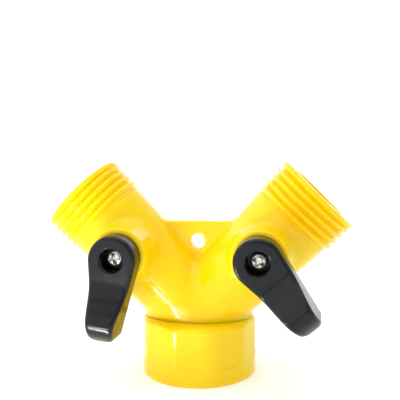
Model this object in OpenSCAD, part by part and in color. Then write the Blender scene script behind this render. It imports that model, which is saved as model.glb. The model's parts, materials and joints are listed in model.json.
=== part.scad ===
// Two-way garden hose splitter: a Y housing with two quarter-turn ball valves
// and a swivel coupling nut. Millimetres, +Z up along the inlet, which is the
// nut's own axis; the levers are on the -Y side. The origin is the centre of
// the nut's bottom face.

/* [Housing] */
// Height at which the axes of the two arms cross
crossing_z = 18; // [17.5:0.25:19]
// Angle of each arm from the vertical
arm_angle = 45; // [44:0.5:46]
// Length of an arm from the crossing to the rim of its outlet
arm_length = 50.5; // [50:0.25:54]
// Outer radius of an arm at the crossing
arm_root_radius = 10.6; // [10.4:0.1:11]
// Outer radius of an arm at the foot of its thread
arm_end_radius = 12.6; // [12.4:0.1:12.9]
// Height of the web's flat top
web_top_z = 45.3; // [44:0.25:47]
// Thickness of the web
web_thickness = 4; // [3:0.25:6]
// Radius of the hang hole in the web
hang_radius = 2.2; // [1.6:0.1:2.4]

/* [Hose thread] */
// Distance between neighbouring ridges, 11.5 to the inch
thread_pitch = 2.2087; // [2.2:0.0001:2.22]
// Crest radius of the outlet thread
outlet_crest_radius = 13.4; // [13.3:0.05:13.5]
// Root radius of the outlet thread
outlet_root_radius = 12.05; // [11.9:0.05:12.2]
// Crest radius of the nut's inside thread
inlet_crest_radius = 12.3; // [12.2:0.05:12.4]
// Root radius of the nut's inside thread
inlet_root_radius = 13.65; // [13.6:0.05:13.7]
// Ridges along each outlet's thread, its plain end band included
outlet_ridges = 5; // [4:1:5]
// Ridges along the nut's inside thread
inlet_ridges = 4; // [3:1:4]
// Width of the flat on a ridge's crest
crest_flat = 0.4; // [0.3:0.05:0.5]

/* [Valves] */
// Distance of each valve from the crossing, along its arm
valve_along = 27.5; // [27:0.25:28.5]
// Radius of a ball
ball_radius = 7.6; // [7.4:0.1:7.8]
// Radius of the waterway through a ball
port_radius = 4.4; // [4:0.1:4.6]
// Radius of the bore that takes the ball and its seats
chamber_radius = 9; // [8.9:0.05:9.1]
// Radius of the open bore in front of the seat retainer
outlet_bore_radius = 9.4; // [9.3:0.05:9.5]
// Outer radius of the round boss under a lever, at its face
boss_radius = 7.9; // [7.8:0.1:8.4]
// Distance of a boss's front face from the arm's axis
boss_face = 19.8; // [19.6:0.1:20]
// Radius of a valve stem
stem_radius = 3.5; // [3.3:0.05:3.6]
// Radial clearance of everything that turns in a bore
running_gap = 0.08; // [0.05:0.01:0.1]

/* [Levers] */
// Angle of the left lever from straight down, towards +X
left_angle = -7; // [-45:0.5:45]
// Angle of the right lever from straight down, towards +X
right_angle = 40.5; // [-45:0.5:45]
// Distance of a lever's front face from the arm's axis
lever_front = 25.9; // [25.5:0.1:26.5]
// Reach of a lever from its pivot to its tip
lever_reach = 22.4; // [21.5:0.1:23]
// Radius of a lever's round head where it meets the boss
head_radius = 6.8; // [6.5:0.1:7]
// Radius of the deep recess in a lever's head
recess_radius = 3.3; // [3:0.05:3.4]
// Height of the ridge near a handle's tip, above the dip behind the head
ridge_rise = 5.8; // [4:0.1:6.2]

/* [Nut] */
// Height of the nut
nut_height = 17; // [16.8:0.1:17.2]
// Radius of the nut over its rounded corners
nut_radius = 17.1; // [17:0.05:17.2]
// Radius of the nut over its flats
nut_flat_radius = 16.6; // [16.5:0.05:16.7]
// Radius of the plain round collar at the nut's bottom
nut_collar_radius = 17.05; // [16.8:0.05:17.1]

/* [Hidden] */
$fn = 96;
left = -1;
right = 1;
eps = 0.01;
// A cut passes this far beyond the face it opens.
over = 1;

// Housing
thread_foot = 39.4;
first_ridge = thread_foot + 1.6;
body_bottom = nut_height + 0.15;
neck_radius = 10.92;
neck_bottom = nut_height - 3.9;
neck_bore = 6.5;
bead_radius = 11.7;
bead_top = nut_height - 1.9;
bead_land = 0.9;
web_foot_z = 28;
hang_z = 39.3;
outlet_chamfer = 0.35;
boss_root_radius = boss_radius + 1.6;

// Valve stations, along the arm and out along the stem
seat_length = 3.4;
seat_reach = 5.1;
chamber_floor = valve_along - seat_reach - seat_length;
seat_gap = 0.05;
seat_bore = 4.6;
seat_rim = chamber_radius - 0.05;
retainer_length = 4.4;
retainer_bore = 5.6;
retainer_face = valve_along + seat_reach + seat_length + retainer_length;
retainer_slot = 1.6;
flange_radius = 5;
flange_bottom = 8;
flange_top = 9.8;
pocket_top = 9.9;
slot_floor = 6.2;
tongue_width = 2.6;
tongue_length = 8;
hub_pocket = boss_face - 3.4;
hub_bottom = hub_pocket + 0.2;
hub_radius = 4.8;
drive_size = 4.4;
drive_top = boss_face - 0.8;
socket_size = drive_size + 2 * running_gap;
oring_thickness = 1;
oring_stations = [11.5, 14];
groove_width = 1.3;
groove_radius = 2.5;

// Levers
lever_back = boss_face + 0.2;
head_front_radius = 6.3;
head_round = 1.1;
recess_floor = lever_back + 0.2;
side_taper = 9;
tip_round = 2.2;
dip_depth = 0.2;
ridge_foot = 5.5;
ridge_at = 16.6;
ridge_fall = 0.17;
rise_power = 2.4;
screw_head_radius = 2.4;
screw_head_height = 1.5;
screw_shank_radius = 1.1;
screw_end = drive_top - 5.5;

// Nut
nut_corners = 10;
nut_corner_radius = nut_flat_radius / cos(180 / nut_corners);
nut_rim_round = 0.6;
collar_top = 4.4;
nut_top_round = 1.6;
mouth_radius = 14;
mouth_depth = 1.5;
inlet_first_ridge = 3.15;
washer_bottom = nut_height - 6.8;
washer_top = nut_height - 4;
washer_radius = 12.7;
washer_bore = 7.9;
cavity_radius = 12.9;
cavity_bottom = nut_height - 6.85;
lip_bottom = nut_height - 1.8;

// Colours
housing_yellow = [0.98, 0.82, 0.12];
lever_black = [0.1, 0.1, 0.11];
steel = [0.75, 0.75, 0.77];
rubber_black = [0.08, 0.08, 0.08];
ball_white = [0.9, 0.9, 0.88];
seat_white = [0.95, 0.95, 0.93];

// Stands its children on an arm, with their +Z along the arm's axis.
module on_arm(side) {
    translate([0, 0, crossing_z]) rotate([0, side * arm_angle, 0]) children();
}

// Stands its children on a valve's axis, with their +Z out of the front and
// their -Y straight down.
module on_valve(side) {
    translate([side * valve_along * sin(arm_angle), 0, crossing_z + valve_along * cos(arm_angle)])
        rotate([90, 0, 0]) children();
}

// A ring between two heights.
module ring(outer, inner, low, high) {
    translate([0, 0, low]) difference() {
        cylinder(r = outer, h = high - low);
        translate([0, 0, -over]) cylinder(r = inner, h = high - low + 2 * over);
    }
}

// Outline of a row of 60-degree ridges, from the lowest one upwards.
function ridge_points(root, crest, first, count) =
    let (run = abs(crest - root) * tan(30))
    [for (k = [0 : count - 1])
        let (middle = first + k * thread_pitch)
        each [
            [root, middle - crest_flat / 2 - run],
            [crest, middle - crest_flat / 2],
            [crest, middle + crest_flat / 2],
            [root, middle + crest_flat / 2 + run]
        ]];

// ---- Housing ----

// The last ridge runs out into a plain band at the rim.
module arm_outside() {
    band = ridge_points(
        outlet_root_radius, outlet_crest_radius, first_ridge + (outlet_ridges - 1) * thread_pitch, 1);
    cylinder(r1 = arm_root_radius, r2 = arm_end_radius, h = thread_foot);
    rotate_extrude() polygon(concat(
        [[0, thread_foot - over], [outlet_root_radius, thread_foot - over]],
        ridge_points(outlet_root_radius, outlet_crest_radius, first_ridge, outlet_ridges - 1),
        [
            band[0],
            band[1],
            [outlet_crest_radius, arm_length - outlet_chamfer],
            [outlet_crest_radius - outlet_chamfer, arm_length],
            [0, arm_length]
        ]));
}

module valve_bores() {
    cylinder(r = flange_radius, h = pocket_top);
    cylinder(r = stem_radius + running_gap, h = boss_face + over);
    translate([0, 0, hub_pocket]) cylinder(r = hub_radius + running_gap, h = over + boss_face - hub_pocket);
}

// The inlet neck, with the bead that the nut's lip snaps over.
module neck() {
    rotate_extrude() polygon([
        [0, neck_bottom],
        [neck_radius, neck_bottom],
        [bead_radius, bead_top - bead_land],
        [bead_radius, bead_top],
        [neck_radius, bead_top],
        [neck_radius, body_bottom + over],
        [0, body_bottom + over]
    ]);
}

module web() {
    translate([0, web_thickness / 2, 0]) rotate([90, 0, 0]) linear_extrude(web_thickness)
        polygon([
            [-web_top_z / 4, web_top_z],
            [web_top_z / 4, web_top_z],
            [5, web_foot_z],
            [-5, web_foot_z]
        ]);
}

module body_shell() {
    color(housing_yellow) difference() {
        union() {
            neck();
            web();
            for (side = [left, right]) {
                difference() {
                    on_arm(side) arm_outside();
                    translate([0, 0, body_bottom - arm_length])
                        cylinder(r = arm_length, h = arm_length);
                }
                on_valve(side) cylinder(r1 = boss_root_radius, r2 = boss_radius, h = boss_face);
            }
        }
        translate([0, 0, neck_bottom - over]) cylinder(r = neck_bore, h = crossing_z - neck_bottom + over);
        translate([0, 0, crossing_z]) sphere(r = neck_bore);
        for (side = [left, right]) {
            on_arm(side) cylinder(r = seat_bore, h = arm_length);
            on_arm(side) translate([0, 0, chamber_floor]) cylinder(r = chamber_radius, h = arm_length);
            on_arm(side) translate([0, 0, retainer_face]) cylinder(r = outlet_bore_radius, h = arm_length);
            on_valve(side) valve_bores();
        }
        translate([0, web_thickness, hang_z]) rotate([90, 0, 0])
            cylinder(r = hang_radius, h = 2 * web_thickness);
    }
}

// ---- Valve insides ----

// One seat ring, with its floor at 0 and its cup towards +Z.
module seat() {
    difference() {
        ring(seat_rim, seat_bore, 0, seat_length);
        translate([0, 0, seat_length + seat_reach]) sphere(r = ball_radius + seat_gap);
    }
}

module seat_pair_member(side, inner) {
    color(seat_white) on_arm(side) translate([0, 0, valve_along])
        rotate([inner ? 0 : 180, 0, 0]) translate([0, 0, -seat_reach - seat_length]) seat();
}

module seat_inner_left() { seat_pair_member(left, true); }
module seat_inner_right() { seat_pair_member(right, true); }
module seat_outer_left() { seat_pair_member(left, false); }
module seat_outer_right() { seat_pair_member(right, false); }

// The collar that holds the seats in, with two slots for a spanner.
module seat_retainer(side) {
    color(housing_yellow) on_arm(side) translate([0, 0, valve_along + seat_reach + seat_length])
        difference() {
            ring(seat_rim, retainer_bore, 0, retainer_length);
            translate([-chamber_radius, -retainer_slot / 2, retainer_length - retainer_slot])
                cube([2 * chamber_radius, retainer_slot, retainer_slot + over]);
        }
}

module seat_retainer_left() { seat_retainer(left); }
module seat_retainer_right() { seat_retainer(right); }

module ball(side, angle) {
    color(ball_white) on_valve(side) rotate([0, 0, angle]) difference() {
        sphere(r = ball_radius);
        translate([0, ball_radius + over, 0]) rotate([90, 0, 0])
            cylinder(r = port_radius, h = 2 * (ball_radius + over));
        translate([-ball_radius, -(tongue_width + 2 * running_gap) / 2, slot_floor])
            cube([2 * ball_radius, tongue_width + 2 * running_gap, ball_radius]);
    }
}

module ball_left() { ball(left, left_angle); }
module ball_right() { ball(right, right_angle); }

module stem(side, angle) {
    color(steel) on_valve(side) rotate([0, 0, angle]) difference() {
        union() {
            intersection() {
                translate([-tongue_length / 2, -tongue_width / 2, slot_floor + running_gap])
                    cube([tongue_length, tongue_width, flange_bottom - slot_floor]);
                cylinder(r = flange_radius - running_gap, h = flange_top);
            }
            translate([0, 0, flange_bottom])
                cylinder(r = flange_radius - running_gap, h = flange_top - flange_bottom);
            translate([0, 0, flange_bottom]) cylinder(r = stem_radius, h = hub_pocket - flange_bottom);
            translate([-drive_size / 2, -drive_size / 2, hub_pocket - eps])
                cube([drive_size, drive_size, drive_top - hub_pocket + eps]);
        }
        for (station = oring_stations)
            ring(stem_radius + over, groove_radius, station - groove_width / 2, station + groove_width / 2);
        translate([0, 0, screw_end - 0.5]) cylinder(r = screw_shank_radius + 0.03, h = drive_top);
    }
}

module stem_left() { stem(left, left_angle); }
module stem_right() { stem(right, right_angle); }

module stem_oring(side, station) {
    centre = stem_radius + 0.04 - oring_thickness / 2;
    color(rubber_black) on_valve(side) translate([0, 0, station])
        rotate_extrude() translate([centre, 0]) circle(r = oring_thickness / 2, $fn = 32);
}

module stem_oring_inner_left() { stem_oring(left, oring_stations[0]); }
module stem_oring_outer_left() { stem_oring(left, oring_stations[1]); }
module stem_oring_inner_right() { stem_oring(right, oring_stations[0]); }
module stem_oring_outer_right() { stem_oring(right, oring_stations[1]); }

// ---- Levers ----

// Plan of a handle that points to -Y: straight tapered sides from the head, round corners.
module handle_plan() {
    shoulder = head_radius * [cos(side_taper), -sin(side_taper)];
    corner_at = lever_reach - tip_round;
    corner_x = (head_radius - tip_round - corner_at * sin(side_taper)) / cos(side_taper);
    right_side = [
        shoulder,
        for (k = [0 : 6])
            let (a = -side_taper - k * (90 - side_taper) / 6)
            [corner_x + tip_round * cos(a), -corner_at + tip_round * sin(a)]
    ];
    polygon(concat(right_side, [for (k = [7 : -1 : 0]) [-right_side[k].x, right_side[k].y]]));
}

// Height of a handle's front, at a distance from the pivot: low behind the head, up to a
// ridge, and down to the tip.
function handle_front(along) =
    let (
        climb = min(max((along - ridge_foot) / (ridge_at - ridge_foot), 0), 1),
        past = max(along - ridge_at, 0)
    )
    lever_front - dip_depth + ridge_rise * pow(climb, rise_power) * (1 + rise_power * (1 - climb))
        - ridge_fall * past * past;

module handle_side() {
    steps = 16;
    polygon(concat(
        [[0, lever_back], [0, handle_front(0)]],
        [for (k = [0 : steps])
            let (along = ridge_foot + k * (lever_reach - ridge_foot) / steps)
            [-along, handle_front(along)]],
        [[-lever_reach, lever_back]]));
}

module lever(side, angle) {
    color(lever_black) on_valve(side) rotate([0, 0, angle]) difference() {
        union() {
            translate([0, 0, hub_bottom]) cylinder(r = hub_radius, h = lever_back - hub_bottom + eps);
            translate([0, 0, lever_back])
                cylinder(r1 = head_radius, r2 = head_front_radius, h = lever_front - head_round - lever_back);
            translate([0, 0, lever_front - head_round])
                cylinder(r1 = head_front_radius, r2 = head_front_radius - head_round / 2, h = head_round);
            intersection() {
                linear_extrude(lever_front + ridge_rise) handle_plan();
                rotate([90, 0, 90]) translate([0, 0, -head_radius])
                    linear_extrude(2 * head_radius) handle_side();
            }
        }
        translate([0, 0, recess_floor]) cylinder(r = recess_radius, h = lever_front);
        translate([0, 0, hub_bottom - over]) cylinder(r = screw_shank_radius + 0.03, h = lever_front);
        translate([-socket_size / 2, -socket_size / 2, hub_bottom - over])
            cube([socket_size, socket_size, drive_top + 0.1 - hub_bottom + over]);
    }
}

module lever_left() { lever(left, left_angle); }
module lever_right() { lever(right, right_angle); }

// Pan head screw with a cross recess, seen at the bottom of the lever's recess.
module lever_screw(side, angle) {
    cross_length = 3.2;
    cross_width = 0.8;
    cross_depth = 0.9;
    top = recess_floor + screw_head_height;
    color(steel) on_valve(side) rotate([0, 0, angle]) difference() {
        union() {
            translate([0, 0, recess_floor])
                cylinder(r = screw_head_radius, h = screw_head_height - 0.5);
            translate([0, 0, top - 0.5])
                cylinder(r1 = screw_head_radius, r2 = screw_head_radius - 0.45, h = 0.5);
            translate([0, 0, screw_end]) cylinder(r = screw_shank_radius, h = recess_floor - screw_end + eps);
        }
        for (turn = [20, 110])
            rotate([0, 0, turn]) translate([-cross_length / 2, -cross_width / 2, top - cross_depth])
                cube([cross_length, cross_width, cross_depth + over]);
    }
}

module lever_screw_left() { lever_screw(left, left_angle); }
module lever_screw_right() { lever_screw(right, right_angle); }

// ---- Coupling nut ----

module inlet_nut() {
    color(housing_yellow) difference() {
        union() {
            rotate_extrude() polygon([
                [0, 0],
                [nut_collar_radius - nut_rim_round, 0],
                [nut_collar_radius, nut_rim_round],
                [nut_collar_radius, collar_top],
                [nut_flat_radius, collar_top + 1],
                [0, collar_top + 1]
            ]);
            intersection() {
                cylinder(r = nut_corner_radius, h = nut_height, $fn = nut_corners);
                rotate_extrude() polygon([
                    [0, collar_top],
                    [nut_radius, collar_top],
                    each [for (a = [0 : 30 : 90]) [
                        nut_radius - nut_top_round * (1 - cos(a)),
                        nut_height - nut_top_round * (1 - sin(a))
                    ]],
                    [0, nut_height]
                ]);
            }
        }
        translate([0, 0, -over]) cylinder(r = mouth_radius, h = mouth_depth + over);
        rotate_extrude() polygon(concat(
            [[0, 0], [inlet_root_radius, 0]],
            ridge_points(inlet_root_radius, inlet_crest_radius, inlet_first_ridge, inlet_ridges),
            [[0, inlet_first_ridge + inlet_ridges * thread_pitch]]));
        translate([0, 0, cavity_bottom]) cylinder(r = cavity_radius, h = lip_bottom - cavity_bottom);
        cylinder(r = neck_radius + running_gap, h = nut_height + over);
    }
}

module inlet_washer() {
    color(rubber_black) ring(washer_radius, washer_bore, washer_bottom, washer_top);
}

body_shell();
inlet_nut();
inlet_washer();
lever_left();
lever_right();
lever_screw_left();
lever_screw_right();
stem_left();
stem_right();
stem_oring_inner_left();
stem_oring_outer_left();
stem_oring_inner_right();
stem_oring_outer_right();
ball_left();
ball_right();
seat_inner_left();
seat_outer_left();
seat_inner_right();
seat_outer_right();
seat_retainer_left();
seat_retainer_right();
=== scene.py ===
"""Hose splitter: the housing, nut, levers and screws that are seen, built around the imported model.

Shapes are worked out in millimetres in the model's own frame, and become metres when a mesh is made.
"""
import json
from math import atan, atan2, cos, pi, radians, sin, tan

import bpy
import numpy as np
from mathutils import Matrix, Vector


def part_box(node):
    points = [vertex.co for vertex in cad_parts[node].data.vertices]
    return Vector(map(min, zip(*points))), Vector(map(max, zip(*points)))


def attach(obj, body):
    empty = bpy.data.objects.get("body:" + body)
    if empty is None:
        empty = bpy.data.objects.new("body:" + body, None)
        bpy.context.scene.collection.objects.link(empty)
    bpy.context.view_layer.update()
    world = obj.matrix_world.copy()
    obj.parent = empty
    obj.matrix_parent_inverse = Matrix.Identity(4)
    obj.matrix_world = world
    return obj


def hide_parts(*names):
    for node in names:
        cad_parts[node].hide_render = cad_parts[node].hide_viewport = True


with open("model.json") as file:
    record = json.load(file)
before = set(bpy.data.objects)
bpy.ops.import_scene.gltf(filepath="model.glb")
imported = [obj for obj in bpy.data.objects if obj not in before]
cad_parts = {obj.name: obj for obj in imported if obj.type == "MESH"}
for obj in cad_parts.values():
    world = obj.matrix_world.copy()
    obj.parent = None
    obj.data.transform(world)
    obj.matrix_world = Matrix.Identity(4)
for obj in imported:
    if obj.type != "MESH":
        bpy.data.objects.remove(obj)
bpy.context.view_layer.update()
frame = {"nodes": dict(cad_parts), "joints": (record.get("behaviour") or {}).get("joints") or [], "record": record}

MM = 0.001
SIDES = {"left": -1, "right": 1}
JOINTS = {joint["name"]: joint for joint in frame["joints"]}
MOUNTS = {mount["name"]: mount for mount in frame["record"]["mounts"]}


def in_mm(values):
    return np.array(values, float) / MM


def node_box(node):
    """Lowest and highest corner of a CAD node, in millimetres."""
    low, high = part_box(node)
    return in_mm(low), in_mm(high)


# ---- Sizes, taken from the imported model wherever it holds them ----

ARM_AXIS = {side: np.array(MOUNTS[f"outlet_{side}_thread"]["axis"], float) for side in SIDES}
ARM_POINT = in_mm(MOUNTS["outlet_right_thread"]["pos_m"])
CROSSING_Z = ARM_POINT[2] - ARM_POINT[0] * ARM_AXIS["right"][2] / ARM_AXIS["right"][0]
CROSSING = np.array([0, 0, CROSSING_Z])
ARM_LENGTH = float((in_mm(MOUNTS["outlet_right_rim"]["pos_m"]) - CROSSING) @ ARM_AXIS["right"])
OUTLET_CREST = MOUNTS["outlet_right_thread"]["dims"]["r_mm"]
OUTLET_BORE = MOUNTS["outlet_right_bore"]["dims"]["r_mm"]
OUTLET_BORE_LENGTH = MOUNTS["outlet_right_bore"]["dims"]["length_mm"]
INLET_CREST = MOUNTS["inlet_thread"]["dims"]["r_mm"]
HANG_POINT = in_mm(MOUNTS["hang_hole"]["pos_m"])
HANG_RADIUS = MOUNTS["hang_hole"]["dims"]["r_mm"]
PIVOT = {side: in_mm(JOINTS[f"valve_{side}_turn"]["pos_m"]) for side in SIDES}
NUT_HEIGHT = node_box("inlet_nut")[1][2]
NUT_RADIUS = node_box("inlet_nut")[1][0]
BODY_BOTTOM = NUT_HEIGHT + 0.03
NECK_BOTTOM = node_box("body_shell")[0][2]
RETAINER_FACE = ARM_LENGTH - OUTLET_BORE_LENGTH

PITCH = 25.4 / 11.5
THREAD_DEPTH = 1.35
OUTLET_DEPTH = 1.0
FLANK_RUN = THREAD_DEPTH * tan(radians(30))
CREST_FLAT = 0.4
THREAD_FADE = 1.2
SHOULDER = 39.4
FIRST_RIDGE = SHOULDER - 0.06
BAND_START = 49.4
RIM_ROUND = 0.65

ARM_ROOT_RADIUS = 10.6
ARM_END_RADIUS = 12.6
NECK_RADIUS = 10.92
BEAD_RADIUS = 11.7
BEAD_TOP = NUT_HEIGHT - 1.9
BOSS_RADIUS = 7.9
BOSS_DRAFT = 0.045
BOSS_ROUND = 0.7
BOSS_FACE = -node_box("body_shell")[0][1]
WEB_HALF_THICKNESS = 2
WEB_HALF_WIDTH = 13
WEB_BOTTOM = 26
WEB_TOP = 45.3
WIDE_FILLET = 2.2
FILLET = 1.0
EDGE_ROUND = 0.5
CHAMBER_RADIUS = 9
CHAMBER_FLOOR = 19
PASSAGE_RADIUS = 4.6
INLET_BORE = 6.5
STEM_BORE = 3.58
STEM_FLANGE_BORE = 5
STEM_FLANGE_TOP = 9.9

LEVER_BACK = BOSS_FACE + 0.2
LEVER_FRONT = 25.9
LEVER_REACH = 22.4
RIDGE_TOP = -node_box("lever_left")[0][1]
RIDGE_FOOT = 5.5
RIDGE_AT = 16.6
RISE_POWER = 2.4
TIP_FALL = 0.17
HEAD_RADIUS = 6.75
SIDE_TAPER = 9
SIDE_DRAFT = 0.035
TIP_DRAFT = 0.03
RECESS_RADIUS = 3.3
RECESS_LIP = 0.4
RECESS_FLOOR = LEVER_BACK + 0.2
HUB_RADIUS = 4.8
HUB_BOTTOM = -node_box("lever_left")[1][1]
SOCKET_TOP = -node_box("stem_left")[0][1] + 0.1
SOCKET_SIZE = 4.56
SCREW_RADIUS = 2.4
# The screws' heads are seen to stand this much higher than those of the CAD model.
SCREW_RISE = 0.8
SCREW_TOP = -node_box("lever_screw_left")[0][1] + SCREW_RISE
SCREW_END = -node_box("lever_screw_left")[1][1]

# A lever stands along its arm when open, which is one end of its travel.
REST_ANGLE = {
    "left": 45 - max(JOINTS["valve_left_turn"]["range_deg"]),
    "right": -45 - min(JOINTS["valve_right_turn"]["range_deg"]),
}


# ---- Frames that pieces are built in ----

def arm_frame(side):
    """Origin and axes of an arm: its +Z runs from the crossing to the outlet."""
    out = ARM_AXIS[side]
    across = np.array([out[2], 0, -out[0]])
    return CROSSING, np.array([across, [0, 1, 0], out])


def valve_frame(side, angle=0.0):
    """Origin and axes of a valve: +Z out of the front, -Y along a lever at this angle from downwards."""
    a = radians(angle)
    return PIVOT[side], np.array([[cos(a), 0, sin(a)], [-sin(a), 0, cos(a)], [0, -1, 0]])


def to_model(points, place):
    origin, axes = place
    return origin + np.asarray(points, float) @ axes


def to_local(points, place):
    origin, axes = place
    return (points - origin) @ axes.T


MODEL_FRAME = (np.zeros(3), np.eye(3))


# ---- Meshes ----

def new_piece(name, verts, faces, place=MODEL_FRAME):
    """An object of this mesh, given in millimetres in its own frame."""
    mesh = bpy.data.meshes.new(name)
    mesh.from_pydata((to_model(verts, place) * MM).tolist(), [], [tuple(f) for f in faces])
    mesh.validate()
    piece = bpy.data.objects.new(name, mesh)
    bpy.context.scene.collection.objects.link(piece)
    return piece


def grid_faces(rows, columns, close_rows=False):
    """Quads of a grid whose columns run round in a ring."""
    faces = []
    for i in range(rows if close_rows else rows - 1):
        a, b = i * columns, ((i + 1) % rows) * columns
        for j in range(columns):
            k = (j + 1) % columns
            faces.append((a + j, a + k, b + k, b + j))
    return faces


def ring(radius, height, angles):
    """Points round the axis at one height. The radius is one number, or one for each angle."""
    return np.stack([radius * np.cos(angles), radius * np.sin(angles), np.full(len(angles), height)], -1)


def capped(name, rings, low, high, place):
    """A solid from a stack of rings, the lowest first, closed to a point on the axis at both heights."""
    columns = len(rings[0])
    verts = np.concatenate(rings + [np.array([[0, 0, low], [0, 0, high]], float)])
    faces = grid_faces(len(rings), columns)
    bottom, top = len(verts) - 2, len(verts) - 1
    last = (len(rings) - 1) * columns
    for j in range(columns):
        k = (j + 1) % columns
        faces.append((bottom, k, j))
        faces.append((top, last + j, last + k))
    return new_piece(name, verts, faces, place)


def turned(name, outline, place=MODEL_FRAME, steps=128):
    """A solid of revolution from (radius, height) points, from axis to axis, the lowest first."""
    angles = np.arange(steps) * 2 * pi / steps
    rings = [ring(radius, height, angles) for radius, height in outline[1:-1]]
    return capped(name, rings, outline[0][1], outline[-1][1], place)


def rectangle(half_long, half_wide, height, turn=0):
    """Corners of a level rectangle about the axis, turned by an angle in degrees."""
    c, s = cos(radians(turn)), sin(radians(turn))
    signs = ((-1, -1), (1, -1), (1, 1), (-1, 1))
    corners = [(i * half_long, j * half_wide) for i, j in signs]
    return [(c * x - s * y, s * x + c * y, height) for x, y in corners]


def block(name, low_corners, high_corners, place):
    """A six-sided solid between two rectangles."""
    sides = [(0, 3, 2, 1), (4, 5, 6, 7), (0, 1, 5, 4), (1, 2, 6, 5), (2, 3, 7, 6), (3, 0, 4, 7)]
    return new_piece(name, low_corners + high_corners, sides, place)


def surface_net(field, low, high, cell):
    """Closed mesh of the surface where the field is zero, inside a box cut into cubic cells."""
    low = np.array(low, float)
    counts = np.ceil((np.array(high, float) - low) / cell).astype(int) + 1
    axes = [low[k] + cell * np.arange(counts[k]) for k in range(3)]
    points = np.stack(np.meshgrid(*axes, indexing="ij"), -1).reshape(-1, 3)
    value = field(points).reshape(counts)
    cells = tuple(counts - 1)
    total = np.zeros(cells + (3,))
    hits = np.zeros(cells)
    crossings = []
    for axis in range(3):
        near = np.take(value, range(counts[axis] - 1), axis)
        far = np.take(value, range(1, counts[axis]), axis)
        crosses = (near < 0) != (far < 0)
        share = np.where(crosses, near / np.where(crosses, near - far, 1), 0)
        others = [k for k in range(3) if k != axis]
        for db in (0, 1):
            for dc in (0, 1):
                at = [slice(None)] * 3
                at[others[0]] = slice(db, db + cells[others[0]])
                at[others[1]] = slice(dc, dc + cells[others[1]])
                hit = crosses[tuple(at)]
                hits += hit
                total[..., axis] += share[tuple(at)]
                total[..., others[0]] += db * hit
                total[..., others[1]] += dc * hit
        crossings.append((axis, others, crosses, near < 0))
    active = hits > 0
    number = np.full(cells, -1)
    number[active] = np.arange(active.sum())
    verts = low + cell * (np.argwhere(active) + total[active] / hits[active][:, None])
    faces = []
    for axis, others, crosses, starts_inside in crossings:
        at = np.argwhere(crosses)
        keep = (at[:, others[0]] > 0) & (at[:, others[1]] > 0)
        keep &= (at[:, others[0]] < counts[others[0]] - 1) & (at[:, others[1]] < counts[others[1]] - 1)
        at = at[keep]
        corners = []
        for db, dc in ((-1, -1), (0, -1), (0, 0), (-1, 0)):
            c = at.copy()
            c[:, others[0]] += db
            c[:, others[1]] += dc
            corners.append(number[tuple(c.T)])
        quads = np.stack(corners, -1)
        flip = starts_inside[tuple(at.T)] == (axis == 1)
        quads[flip] = quads[flip][:, ::-1]
        faces.append(quads)
    return settle(field, verts, cell), np.concatenate(faces)


def settle(field, verts, cell):
    """Moves the points onto the field's zero surface, in a few short steps."""
    rounds, reach, longest_step = 4, 0.05 * cell, 0.4 * cell
    for _ in range(rounds):
        value = field(verts)
        slope = np.stack(
            [field(verts + reach * e) - field(verts - reach * e) for e in np.eye(3)], -1) / (2 * reach)
        step = value[:, None] * slope / np.maximum((slope**2).sum(-1, keepdims=True), 1e-6)
        length = np.linalg.norm(step, axis=1, keepdims=True)
        verts = verts - step * np.minimum(1, longest_step / np.maximum(length, 1e-9))
    return verts


def combine(piece, others, operation):
    """Joins the others to the piece, or cuts them from it, and removes them."""
    for other in others:
        step = piece.modifiers.new("combine", "BOOLEAN")
        step.operation = operation
        step.solver = "MANIFOLD"
        step.object = other
    result = bpy.data.meshes.new_from_object(piece.evaluated_get(bpy.context.evaluated_depsgraph_get()))
    piece.modifiers.clear()
    piece.data = result
    for other in others:
        bpy.data.objects.remove(other)
    return piece


def smooth(piece, crease=38):
    """Smooth shading, with a sharp edge where faces meet at more than the crease angle."""
    mesh = piece.data
    mesh.polygons.foreach_set("use_smooth", [True] * len(mesh.polygons))
    mesh.set_sharp_from_angle(angle=radians(crease))
    return piece


# ---- Distance fields, in millimetres ----

def round_union(a, b, radius):
    """The two solids joined by a fillet."""
    gap = np.maximum(radius - np.stack([a, b]), 0)
    return np.maximum(radius, np.minimum(a, b)) - np.sqrt((gap**2).sum(0))


def round_meet(a, b, radius):
    """What the two solids share, with its edge rounded."""
    gap = np.maximum(radius + np.stack([a, b]), 0)
    return np.minimum(-radius, np.maximum(a, b)) + np.sqrt((gap**2).sum(0))


def arm_field(points, side):
    local = to_local(points, arm_frame(side))
    around = np.hypot(local[:, 0], local[:, 1])
    slope = (ARM_END_RADIUS - ARM_ROOT_RADIUS) / SHOULDER
    wall = around - (ARM_ROOT_RADIUS + slope * np.maximum(local[:, 2], 0))
    return round_meet(wall, local[:, 2] - SHOULDER, EDGE_ROUND)


def boss_field(points, side):
    local = to_local(points, valve_frame(side))
    around = np.hypot(local[:, 0], local[:, 1])
    wall = around - BOSS_RADIUS - BOSS_DRAFT * (BOSS_FACE - local[:, 2])
    return np.maximum(round_meet(wall, local[:, 2] - BOSS_FACE, BOSS_ROUND), -local[:, 2])


def outside_hang_hole(points):
    return HANG_RADIUS - np.hypot(points[:, 0] - HANG_POINT[0], points[:, 2] - HANG_POINT[2])


def web_field(points):
    thick = np.abs(points[:, 1]) - WEB_HALF_THICKNESS
    wide = np.maximum(np.abs(points[:, 0]) - WEB_HALF_WIDTH, WEB_BOTTOM - points[:, 2])
    flat = round_meet(thick, points[:, 2] - WEB_TOP, EDGE_ROUND)
    return round_meet(np.maximum(flat, wide), outside_hang_hole(points), EDGE_ROUND)


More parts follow.
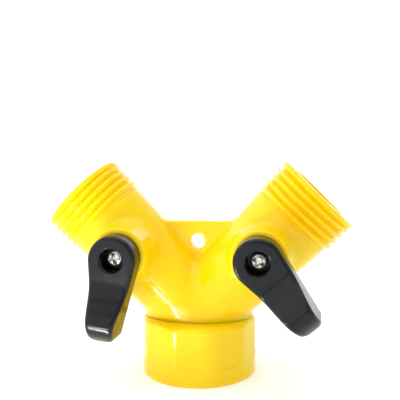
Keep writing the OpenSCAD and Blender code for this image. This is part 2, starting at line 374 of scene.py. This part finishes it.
def housing_field(points):
    """Arms, neck, bosses and web, joined by fillets. It ends a little below the body's true bottom."""
    arms = round_union(arm_field(points, "left"), arm_field(points, "right"), WIDE_FILLET)
    around = np.hypot(points[:, 0], points[:, 1])
    neck = np.maximum(around - NECK_RADIUS, points[:, 2] - BODY_BOTTOM - 0.2)
    solid = round_union(arms, neck, FILLET)
    for side in SIDES:
        solid = round_union(solid, boss_field(points, side), WIDE_FILLET)
    solid = round_union(solid, web_field(points), FILLET)
    near_web = np.abs(points[:, 1]) < 2 * WEB_HALF_THICKNESS
    solid = np.maximum(solid, np.where(near_web, outside_hang_hole(points), -1))
    return np.maximum(solid, BODY_BOTTOM - 0.7 - points[:, 2])


def handle_front(along):
    """Height of a handle's front: flat behind the head, up to a ridge, and down to the tip."""
    climb = np.clip((along - RIDGE_FOOT) / (RIDGE_AT - RIDGE_FOOT), 0, 1)
    past = np.maximum(along - RIDGE_AT, 0)
    share = climb**RISE_POWER * (1 + RISE_POWER - RISE_POWER * climb)
    return LEVER_FRONT + (RIDGE_TOP - LEVER_FRONT) * share - TIP_FALL * past**2


def lever_field(points):
    """A lever that points to -Y: round head, straight sides that touch it, ridge across the tip."""
    x, along, z = points[:, 0], -points[:, 1], points[:, 2]
    tip_round, front_round, back_round = 2.0, 1.0, 0.4
    radius = HEAD_RADIUS - SIDE_DRAFT * (z - LEVER_BACK)
    taper = radians(SIDE_TAPER)
    sides = np.abs(x) * cos(taper) + along * sin(taper) - radius
    handle = round_meet(sides, along - LEVER_REACH + TIP_DRAFT * (z - LEVER_BACK), tip_round)
    plan = np.minimum(np.hypot(x, along) - radius, np.maximum(handle, HEAD_RADIUS * sin(taper) - along))
    # The front slopes, so its distance is less than the difference in height.
    front = 0.85 * (z - handle_front(along))
    return round_meet(round_meet(plan, front, front_round), LEVER_BACK - z, back_round)


# ---- Threads ----

def ridge_height(turn, along, first):
    """How far a right-handed ridge stands out, from 0 to 1, at an angle in turns and a height."""
    phase = (along - first) / PITCH - turn
    off = PITCH * np.abs((phase + 0.5) % 1.0 - 0.5)
    fall = np.clip((off - CREST_FLAT / 2) / (PITCH / 2 - CREST_FLAT / 2), 0, 1)
    # The flank is part straight and part a curve that is level at crest and root.
    return 1 - (0.4 * fall + 0.6 * fall * fall * (3 - 2 * fall))


def outlet_thread(name, side):
    """The solid end of an arm, with its helical thread and the plain band at its rim."""
    columns, rows = 256, 72
    along = np.linspace(SHOULDER - 2, ARM_LENGTH - RIM_ROUND, rows)
    turn = np.arange(columns) / columns
    s, t = np.meshgrid(along, turn, indexing="ij")
    helix = ridge_height(t, s, FIRST_RIDGE)
    helix *= np.clip((s - SHOULDER + 0.1) / THREAD_FADE, 0, 1)
    band = np.clip((s - BAND_START) / FLANK_RUN + 1, 0, 1)
    radius = OUTLET_CREST - OUTLET_DEPTH + OUTLET_DEPTH * np.maximum(helix, band)
    angles = 2 * pi * turn
    rings = [ring(radius[i], along[i], angles) for i in range(rows)]
    for a in np.linspace(0.3, pi / 2, 5):
        rim_radius = radius[-1] - RIM_ROUND * (1 - cos(a))
        rings.append(ring(rim_radius, ARM_LENGTH - RIM_ROUND * (1 - sin(a)), angles))
    return capped(name, rings, along[0], ARM_LENGTH, arm_frame(side))


# ---- Housing ----

def bore_cutter(side):
    """The waterway of one arm, from the crossing out through the rim."""
    mouth = OUTLET_BORE + 0.6
    return turned("cut", [
        (0, 0), (PASSAGE_RADIUS, 0), (PASSAGE_RADIUS, CHAMBER_FLOOR),
        (CHAMBER_RADIUS, CHAMBER_FLOOR), (CHAMBER_RADIUS, RETAINER_FACE),
        (OUTLET_BORE, RETAINER_FACE + 0.1), (OUTLET_BORE, ARM_LENGTH - 0.5),
        (OUTLET_BORE + 0.15, ARM_LENGTH - 0.15), (mouth, ARM_LENGTH + 0.1),
        (mouth, ARM_LENGTH + 2), (0, ARM_LENGTH + 2)], arm_frame(side))


def stem_cutter(side):
    """The stepped bore of a valve stem, out through the boss."""
    pocket, mouth = HUB_RADIUS + 0.08, HUB_RADIUS + 0.5
    return turned("cut", [
        (0, 0), (STEM_FLANGE_BORE, 0), (STEM_FLANGE_BORE, STEM_FLANGE_TOP),
        (STEM_BORE, STEM_FLANGE_TOP), (STEM_BORE, HUB_BOTTOM - 0.2),
        (pocket, HUB_BOTTOM - 0.2), (pocket, BOSS_FACE - 0.2),
        (mouth, BOSS_FACE + 0.2), (mouth, BOSS_FACE + 2), (0, BOSS_FACE + 2)], valve_frame(side))


def inlet_cutter():
    """The inlet's bore, from below the neck up to a dome at the crossing."""
    mouth = INLET_BORE + 0.4
    dome = [(INLET_BORE * cos(a), CROSSING_Z + INLET_BORE * sin(a))
            for a in np.linspace(0, pi / 2, 9)[:-1]]
    return turned("cut", [
        (0, NECK_BOTTOM - 2), (mouth, NECK_BOTTOM - 2), (mouth, NECK_BOTTOM - 0.1),
        (INLET_BORE, NECK_BOTTOM + 0.4), *dome, (0, CROSSING_Z + INLET_BORE)])


def make_housing():
    """The moulding, cut level at its bottom, with the neck and threads joined on and every bore cut."""
    cell = 0.45
    low = (-0.75 * ARM_LENGTH, -BOSS_FACE - 1, BODY_BOTTOM - 1)
    high = (0.75 * ARM_LENGTH, ARM_END_RADIUS + 1, CROSSING_Z + 0.76 * ARM_LENGTH)
    housing = new_piece("housing_moulding", *surface_net(housing_field, low, high, cell))
    wide, deep = 40, BODY_BOTTOM - 3
    below = turned("cut", [(0, deep), (wide, deep), (wide, BODY_BOTTOM), (0, BODY_BOTTOM)])
    combine(housing, [below], "DIFFERENCE")
    neck = turned("neck", [
        (0, NECK_BOTTOM), (NECK_RADIUS - 0.3, NECK_BOTTOM), (NECK_RADIUS, NECK_BOTTOM + 0.3),
        (BEAD_RADIUS, BEAD_TOP - 0.9), (BEAD_RADIUS, BEAD_TOP), (NECK_RADIUS, BEAD_TOP),
        (NECK_RADIUS, BODY_BOTTOM + 0.14), (NECK_RADIUS - 1, BODY_BOTTOM + 1), (0, BODY_BOTTOM + 1)])
    threads = [outlet_thread(f"thread_{side}", side) for side in SIDES]
    combine(housing, [neck] + threads, "UNION")
    cutters = [inlet_cutter()] + [make(side) for side in SIDES for make in (bore_cutter, stem_cutter)]
    combine(housing, cutters, "DIFFERENCE")
    return smooth(housing)


# ---- Coupling nut ----

def facet_radius(angle, facets, apothem, corner):
    """Radius of a regular polygon with rounded corners, at an angle. A corner lies at angle 0."""
    half = pi / facets
    from_corner = np.abs((angle + half) % (2 * half) - half)
    flat = apothem / np.cos(half - from_corner)
    centre = (apothem - corner) / cos(half)
    inside = np.maximum(corner**2 - (centre * np.sin(from_corner)) ** 2, 0)
    arc = centre * np.cos(from_corner) + np.sqrt(inside)
    touch = half - atan((apothem - corner) * tan(half) / apothem)
    return np.where(from_corner < touch, arc, flat)


def make_nut():
    """One closed grid: up the outside, over the lip, down the bore and its helical thread."""
    columns = 400
    angle = np.arange(columns) * 2 * pi / columns
    collar, shoulder, blend_length = 17.04, 4.4, 1.6
    facet_count, flat, corner = 10, 16.6, 5.5
    facets = facet_radius(angle, facet_count, flat, corner)
    rim_round, top_round = 0.7, 1.6
    quarter = np.linspace(0, pi / 2, 9)
    outside = [(collar - rim_round * (1 - sin(a)), rim_round * (1 - cos(a))) for a in quarter]
    outside += [(collar, z) for z in np.linspace(1.1, shoulder, 8)]
    outside += [("blend", z) for z in np.linspace(shoulder, shoulder + blend_length, 13)[1:]]
    outside += [(NUT_RADIUS, z) for z in np.linspace(6.5, NUT_HEIGHT - top_round - 0.2, 12)]
    top = [(NUT_RADIUS - top_round * (1 - cos(a)), NUT_HEIGHT - top_round * (1 - sin(a)))
           for a in quarter]
    lip, lip_bottom = NECK_RADIUS + 0.04, NUT_HEIGHT - 1.8
    cavity_radius, cavity_bottom = 12.9, NUT_HEIGHT - 6.85
    over = [(r, NUT_HEIGHT) for r in (14.4, 13.2, 12.0)] + [(lip, NUT_HEIGHT), (lip, lip_bottom)]
    cavity = [(cavity_radius, lip_bottom), (cavity_radius, cavity_bottom)]
    thread_top, first_ridge = cavity_bottom - 0.15, 0.94
    mouth, wide = 1.5, 14.0
    facet_reach = 15
    thread = [("thread", z) for z in np.linspace(thread_top, mouth, 66)]
    rim = [(wide, mouth), (wide, 0.35), (wide + 0.3, 0.0), (wide + 0.8, 0.0)]
    rings = []
    for r, z in outside + top + over + cavity + thread + rim:
        if r == "thread":
            ridge = ridge_height(angle / (2 * pi), z, first_ridge)
            fade = np.clip((z - mouth - 0.5) / THREAD_FADE, 0, 1) * np.clip((thread_top - z) / 0.25, 0, 1)
            radius = INLET_CREST + THREAD_DEPTH * (1 - ridge * fade)
        elif r == "blend":
            share = (1 - cos(pi * (z - shoulder) / blend_length)) / 2
            radius = collar + (facets - collar) * share
        elif z > shoulder and r > facet_reach:
            radius = soft_least(facets, r, 0.35)
        else:
            radius = r
        rings.append(ring(radius, z, angle))
    faces = grid_faces(len(rings), columns, close_rows=True)
    return smooth(new_piece("coupling_nut", np.concatenate(rings), faces))


def soft_least(a, b, width):
    """The lesser of the two, blended where they are close."""
    share = np.clip(0.5 + 0.5 * (b - a) / width, 0, 1)
    return b + (a - b) * share - width * share * (1 - share)


# ---- Levers ----

def make_lever(side):
    """One lever at rest: the moulding and its hub, with the recess, screw hole and socket cut."""
    place = valve_frame(side, REST_ANGLE[side])
    low = (-HEAD_RADIUS - 1, -LEVER_REACH - 1, LEVER_BACK - 1)
    high = (HEAD_RADIUS + 1, HEAD_RADIUS + 1, RIDGE_TOP + 1)
    cell = 0.3
    lever = new_piece(f"lever_{side}_moulding", *surface_net(lever_field, low, high, cell), place)
    hub = turned("hub", [(0, HUB_BOTTOM), (HUB_RADIUS - 0.2, HUB_BOTTOM), (HUB_RADIUS, HUB_BOTTOM + 0.2),
                         (HUB_RADIUS, LEVER_BACK + 1), (0, LEVER_BACK + 1)], place)
    combine(lever, [hub], "UNION")
    rim = [(RECESS_RADIUS + RECESS_LIP * (1 - cos(a)), LEVER_FRONT - RECESS_LIP * (1 - sin(a)))
           for a in np.linspace(0, 1.3, 6)]
    mouth = RECESS_RADIUS + RECESS_LIP
    recess = turned("cut", [
        (0, RECESS_FLOOR), (RECESS_RADIUS - 0.2, RECESS_FLOOR), (RECESS_RADIUS, RECESS_FLOOR + 0.2),
        *rim, (mouth, LEVER_FRONT + 0.1), (mouth, LEVER_FRONT + 4), (0, LEVER_FRONT + 4)], place)
    screw_hole, below, above = 1.15, HUB_BOTTOM - 1, RECESS_FLOOR + 1
    hole = turned("cut", [(0, below), (screw_hole, below), (screw_hole, above), (0, above)], place, 32)
    half = SOCKET_SIZE / 2
    socket = block("cut", rectangle(half, half, below), rectangle(half, half, SOCKET_TOP), place)
    combine(lever, [recess, hole, socket], "DIFFERENCE")
    return smooth(lever)


def make_screw(side):
    """Pan head screw with a tapered cross recess."""
    place = valve_frame(side, REST_ANGLE[side])
    crown, shank = 0.7, 1.08
    cross_low, cross_high = SCREW_TOP - 1.5, SCREW_TOP + 0.3
    dome = [(SCREW_RADIUS * sin(a) ** 0.5, SCREW_TOP - crown * (1 - cos(a)))
            for a in np.linspace(pi / 2, 0.1, 14)]
    screw = turned(f"lever_screw_{side}_pan", [
        (0, SCREW_END), (0.5, SCREW_END), (shank, SCREW_END + 1.1), (shank, RECESS_FLOOR),
        (SCREW_RADIUS - 0.1, RECESS_FLOOR), (SCREW_RADIUS, RECESS_FLOOR + 0.15),
        *dome, (0, SCREW_TOP)], place, 64)
    cross = [block("cut", rectangle(0.8, 0.3, cross_low, turn), rectangle(1.85, 0.62, cross_high, turn),
                   place) for turn in (20, 110)]
    combine(screw, cross, "DIFFERENCE")
    return smooth(screw, 30)


# ---- Materials ----

class Finish:
    """A material being built: its nodes, and short ways to make and join them."""

    def __init__(self, name):
        self.material = bpy.data.materials.new(name)
        self.material.use_nodes = True
        self.nodes = self.material.node_tree.nodes
        self.links = self.material.node_tree.links
        self.shader = self.nodes["Principled BSDF"]
        self.place = self.nodes.new("ShaderNodeTexCoord").outputs["Object"]

    def set(self, **values):
        for name, value in values.items():
            self.shader.inputs[name.replace("_", " ")].default_value = value

    def noise(self, scale, detail, rough=0.5, stretch=None):
        """A noise value over the object. Stretch packs it more closely along an axis."""
        place = self.place
        if stretch:
            squeeze = self.nodes.new("ShaderNodeMapping")
            squeeze.inputs["Scale"].default_value = stretch
            self.links.new(place, squeeze.inputs["Vector"])
            place = squeeze.outputs["Vector"]
        texture = self.nodes.new("ShaderNodeTexNoise")
        texture.inputs["Scale"].default_value = scale
        texture.inputs["Detail"].default_value = detail
        texture.inputs["Roughness"].default_value = rough
        self.links.new(place, texture.inputs["Vector"])
        return texture.outputs["Fac"]

    def ramp(self, source, low, high):
        """Colours or greys between low and high, over the middle of the source's range."""
        ramp = self.nodes.new("ShaderNodeValToRGB")
        for element, at, value in zip(ramp.color_ramp.elements, (0.35, 0.65), (low, high)):
            element.position = at
            element.color = tuple(value) + (1,) if np.ndim(value) else (value, value, value, 1)
        self.links.new(source, ramp.inputs["Fac"])
        return ramp.outputs["Color"]

    def join(self, source, name):
        self.links.new(source, self.shader.inputs[name])

    def bump(self, source, depth):
        bump = self.nodes.new("ShaderNodeBump")
        bump.inputs["Distance"].default_value = depth
        bump.inputs["Strength"].default_value = 1
        self.links.new(source, bump.inputs["Height"])
        self.join(bump.outputs["Normal"], "Normal")


def yellow_plastic():
    """Glossy, slightly translucent moulded plastic, its colour a little uneven."""
    f = Finish("yellow_plastic")
    f.join(f.ramp(f.noise(60, 2), (0.97, 0.63, 0.003), (0.98, 0.68, 0.004)), "Base Color")
    f.join(f.ramp(f.noise(220, 4), 0.11, 0.17), "Roughness")
    f.set(Subsurface_Weight=0.7, Subsurface_Radius=(1.0, 0.45, 0.04), Subsurface_Scale=0.003)
    f.set(IOR=1.45, Specular_IOR_Level=0.35)
    f.bump(f.noise(900, 3), 0.00002)
    return f.material


def black_plastic():
    """Smooth moulded black plastic, a little less glossy than the yellow."""
    f = Finish("black_plastic")
    f.join(f.ramp(f.noise(90, 3), (0.0035, 0.004, 0.005), (0.006, 0.007, 0.0085)), "Base Color")
    f.join(f.ramp(f.noise(300, 4), 0.17, 0.25), "Roughness")
    f.set(IOR=1.5, Specular_IOR_Level=0.3)
    f.bump(f.noise(1400, 3), 0.000006)
    return f.material


def metal(name, dark, light, rough, stretch=(1, 1, 1)):
    """Metal with fine marks. Rough is the least roughness."""
    f = Finish(name)
    f.join(f.ramp(f.noise(500, 4, 0.6, stretch), dark, light), "Base Color")
    f.join(f.ramp(f.noise(1500, 4, 0.6, stretch), rough, rough + 0.15), "Roughness")
    f.set(Metallic=1.0)
    f.bump(f.noise(2500, 3, 0.5, stretch), 0.00002)
    return f.material


def rubber():
    """Dull, nearly black rubber."""
    f = Finish("rubber")
    f.join(f.ramp(f.noise(300, 4), (0.012, 0.012, 0.012), (0.03, 0.03, 0.03)), "Base Color")
    f.join(f.ramp(f.noise(900, 3), 0.6, 0.8), "Roughness")
    f.bump(f.noise(2200, 4), 0.00004)
    return f.material


def pale_plastic(name, low, high, rough):
    """Whitish plastic for the parts inside the valves."""
    f = Finish(name)
    f.join(f.ramp(f.noise(120, 3), low, high), "Base Color")
    f.join(f.ramp(f.noise(500, 3), rough, rough + 0.12), "Roughness")
    f.set(Subsurface_Weight=0.15, Subsurface_Radius=(1.0, 0.9, 0.8), Subsurface_Scale=0.001)
    f.bump(f.noise(1500, 3), 0.00001)
    return f.material


FINISHES = {
    "yellow_plastic": yellow_plastic(),
    "black_plastic": black_plastic(),
    "steel": metal("steel", (0.45, 0.43, 0.39), (0.75, 0.72, 0.67), 0.12),
    "brass": metal("brass", (0.60, 0.42, 0.16), (0.80, 0.60, 0.28), 0.25, (1, 8, 1)),
    "rubber": rubber(),
    "white_plastic": pale_plastic("white_plastic", (0.78, 0.78, 0.74), (0.86, 0.86, 0.83), 0.15),
    "seat_plastic": pale_plastic("seat_plastic", (0.80, 0.80, 0.77), (0.88, 0.88, 0.86), 0.40),
}


def finish_piece(piece, slot):
    piece.data.materials.clear()
    piece.data.materials.append(FINISHES[slot])


def add_piece(piece, body, node, slot):
    """Hands a piece to its body, in place of a CAD node."""
    finish_piece(piece, slot)
    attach(piece, body)
    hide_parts(node)


# ---- The object ----

add_piece(make_housing(), "housing", "body_shell", "yellow_plastic")
add_piece(make_nut(), "coupling_nut", "inlet_nut", "yellow_plastic")
for side in SIDES:
    add_piece(make_lever(side), f"valve_{side}", f"lever_{side}", "black_plastic")
    add_piece(make_screw(side), f"valve_{side}", f"lever_screw_{side}", "steel")

SLOT_OF = {part["node"]: part["material_slot"] for part in frame["record"]["subparts"]}
for node, cad_object in frame["nodes"].items():
    if not cad_object.hide_render:
        for k in range(len(cad_object.material_slots)):
            cad_object.material_slots[k].material = FINISHES[SLOT_OF[node]]


# ---- Stage, light and camera ----

def make_floor():
    """A plain pale floor that curves up into a backdrop far behind."""
    half_width, front, back, bend, height = 1.5, -0.9, 0.9, 0.35, 1.2
    outline = [(front, 0.0), (0.2, 0.0)]
    outline += [(back - bend + bend * sin(a), bend * (1 - cos(a))) for a in np.linspace(0, pi / 2, 13)]
    outline += [(back, height)]
    verts = [(x / MM, y / MM, z / MM) for y, z in outline for x in (-half_width, half_width)]
    faces = [(2 * k, 2 * k + 1, 2 * k + 3, 2 * k + 2) for k in range(len(outline) - 1)]
    floor = new_piece("floor", verts, faces)
    smooth(floor, 60)
    f = Finish("floor")
    f.join(f.ramp(f.noise(4, 2), (0.86, 0.87, 0.89), (0.88, 0.89, 0.91)), "Base Color")
    f.set(Roughness=0.9, Emission_Color=(0.90, 0.95, 1.0, 1), Emission_Strength=0.3)
    floor.data.materials.append(f.material)


def area_light(name, place, aim, size, power):
    """A white rectangular light that shines from one place towards another, in metres and watts."""
    data = bpy.data.lights.new(name, "AREA")
    data.shape = "RECTANGLE"
    data.size, data.size_y = size
    data.energy = power
    light = bpy.data.objects.new(name, data)
    light.location = place
    light.rotation_euler = (Vector(aim) - Vector(place)).to_track_quat("-Z", "Y").to_euler()
    light.visible_camera = False
    bpy.context.scene.collection.objects.link(light)
    return light


def floor_strip(name, start, end, width, power):
    """A narrow light just above the floor that shines straight up. Ends and width are in millimetres."""
    along = np.subtract(end, start) * MM
    middle = np.add(start, end) / 2 * MM
    light = area_light(name, (*middle, 0.002), (*middle, 1), (np.hypot(*along), width * MM), power)
    light.rotation_euler = (pi, 0, atan2(along[1], along[0]))


def make_light():
    """Soft studio light from all round, and three floor strips for the gleams on the body and levers."""
    world = bpy.data.worlds.new("studio")
    world.use_nodes = True
    background = world.node_tree.nodes["Background"]
    background.inputs["Color"].default_value = (1, 1, 1, 1)
    background.inputs["Strength"].default_value = 0.6
    bpy.context.scene.world = world
    centre = (0, 0, 0.035)
    area_light("key", (-0.45, -0.45, 0.35), centre, (0.9, 0.7), 1.5)
    area_light("left", (-0.65, 0.1, 0.25), centre, (0.8, 0.6), 1.2)
    area_light("right", (0.6, 0.05, 0.25), centre, (0.7, 0.6), 0.3)
    area_light("top", (0, 0, 0.8), (0, 0, 0), (0.9, 0.9), 3.3)
    area_light("backdrop", (0, 0.35, 0.5), (0, 0.9, 0.3), (1.2, 0.5), 1.5)
    floor_strip("body_streak", (-20, -42), (-43, -67), 5, 0.03)
    floor_strip("left_lever_streak", (-42, -108), (-42, -76), 12, 0.04)
    floor_strip("right_lever_streak", (-23, -70), (-23, -90), 6, 0.004)


def make_camera():
    """Just right of the front and a little above, and near enough for a strong perspective."""
    yaw, pitch, roll = radians(9.08), radians(5.27), radians(-0.505)
    distance, look_at = 0.1848, Vector((0.00059, 0, 0.05146))
    back = Vector((sin(yaw) * cos(pitch), -cos(yaw) * cos(pitch), sin(pitch)))
    right = Vector((cos(yaw), sin(yaw), 0))
    up = back.cross(right)
    tilted_right = right * cos(roll) + up * sin(roll)
    tilted_up = up * cos(roll) - right * sin(roll)
    data = bpy.data.cameras.new("camera")
    data.sensor_width = 36
    data.lens = 55.737
    data.clip_start, data.clip_end = 0.005, 10
    camera = bpy.data.objects.new("camera", data)
    turn = Matrix((tilted_right, tilted_up, back)).transposed()
    camera.matrix_world = Matrix.Translation(look_at + back * distance) @ turn.to_4x4()
    bpy.context.scene.collection.objects.link(camera)
    bpy.context.scene.camera = camera


make_floor()
make_light()
make_camera()
bpy.context.scene.view_settings.view_transform = "Standard"
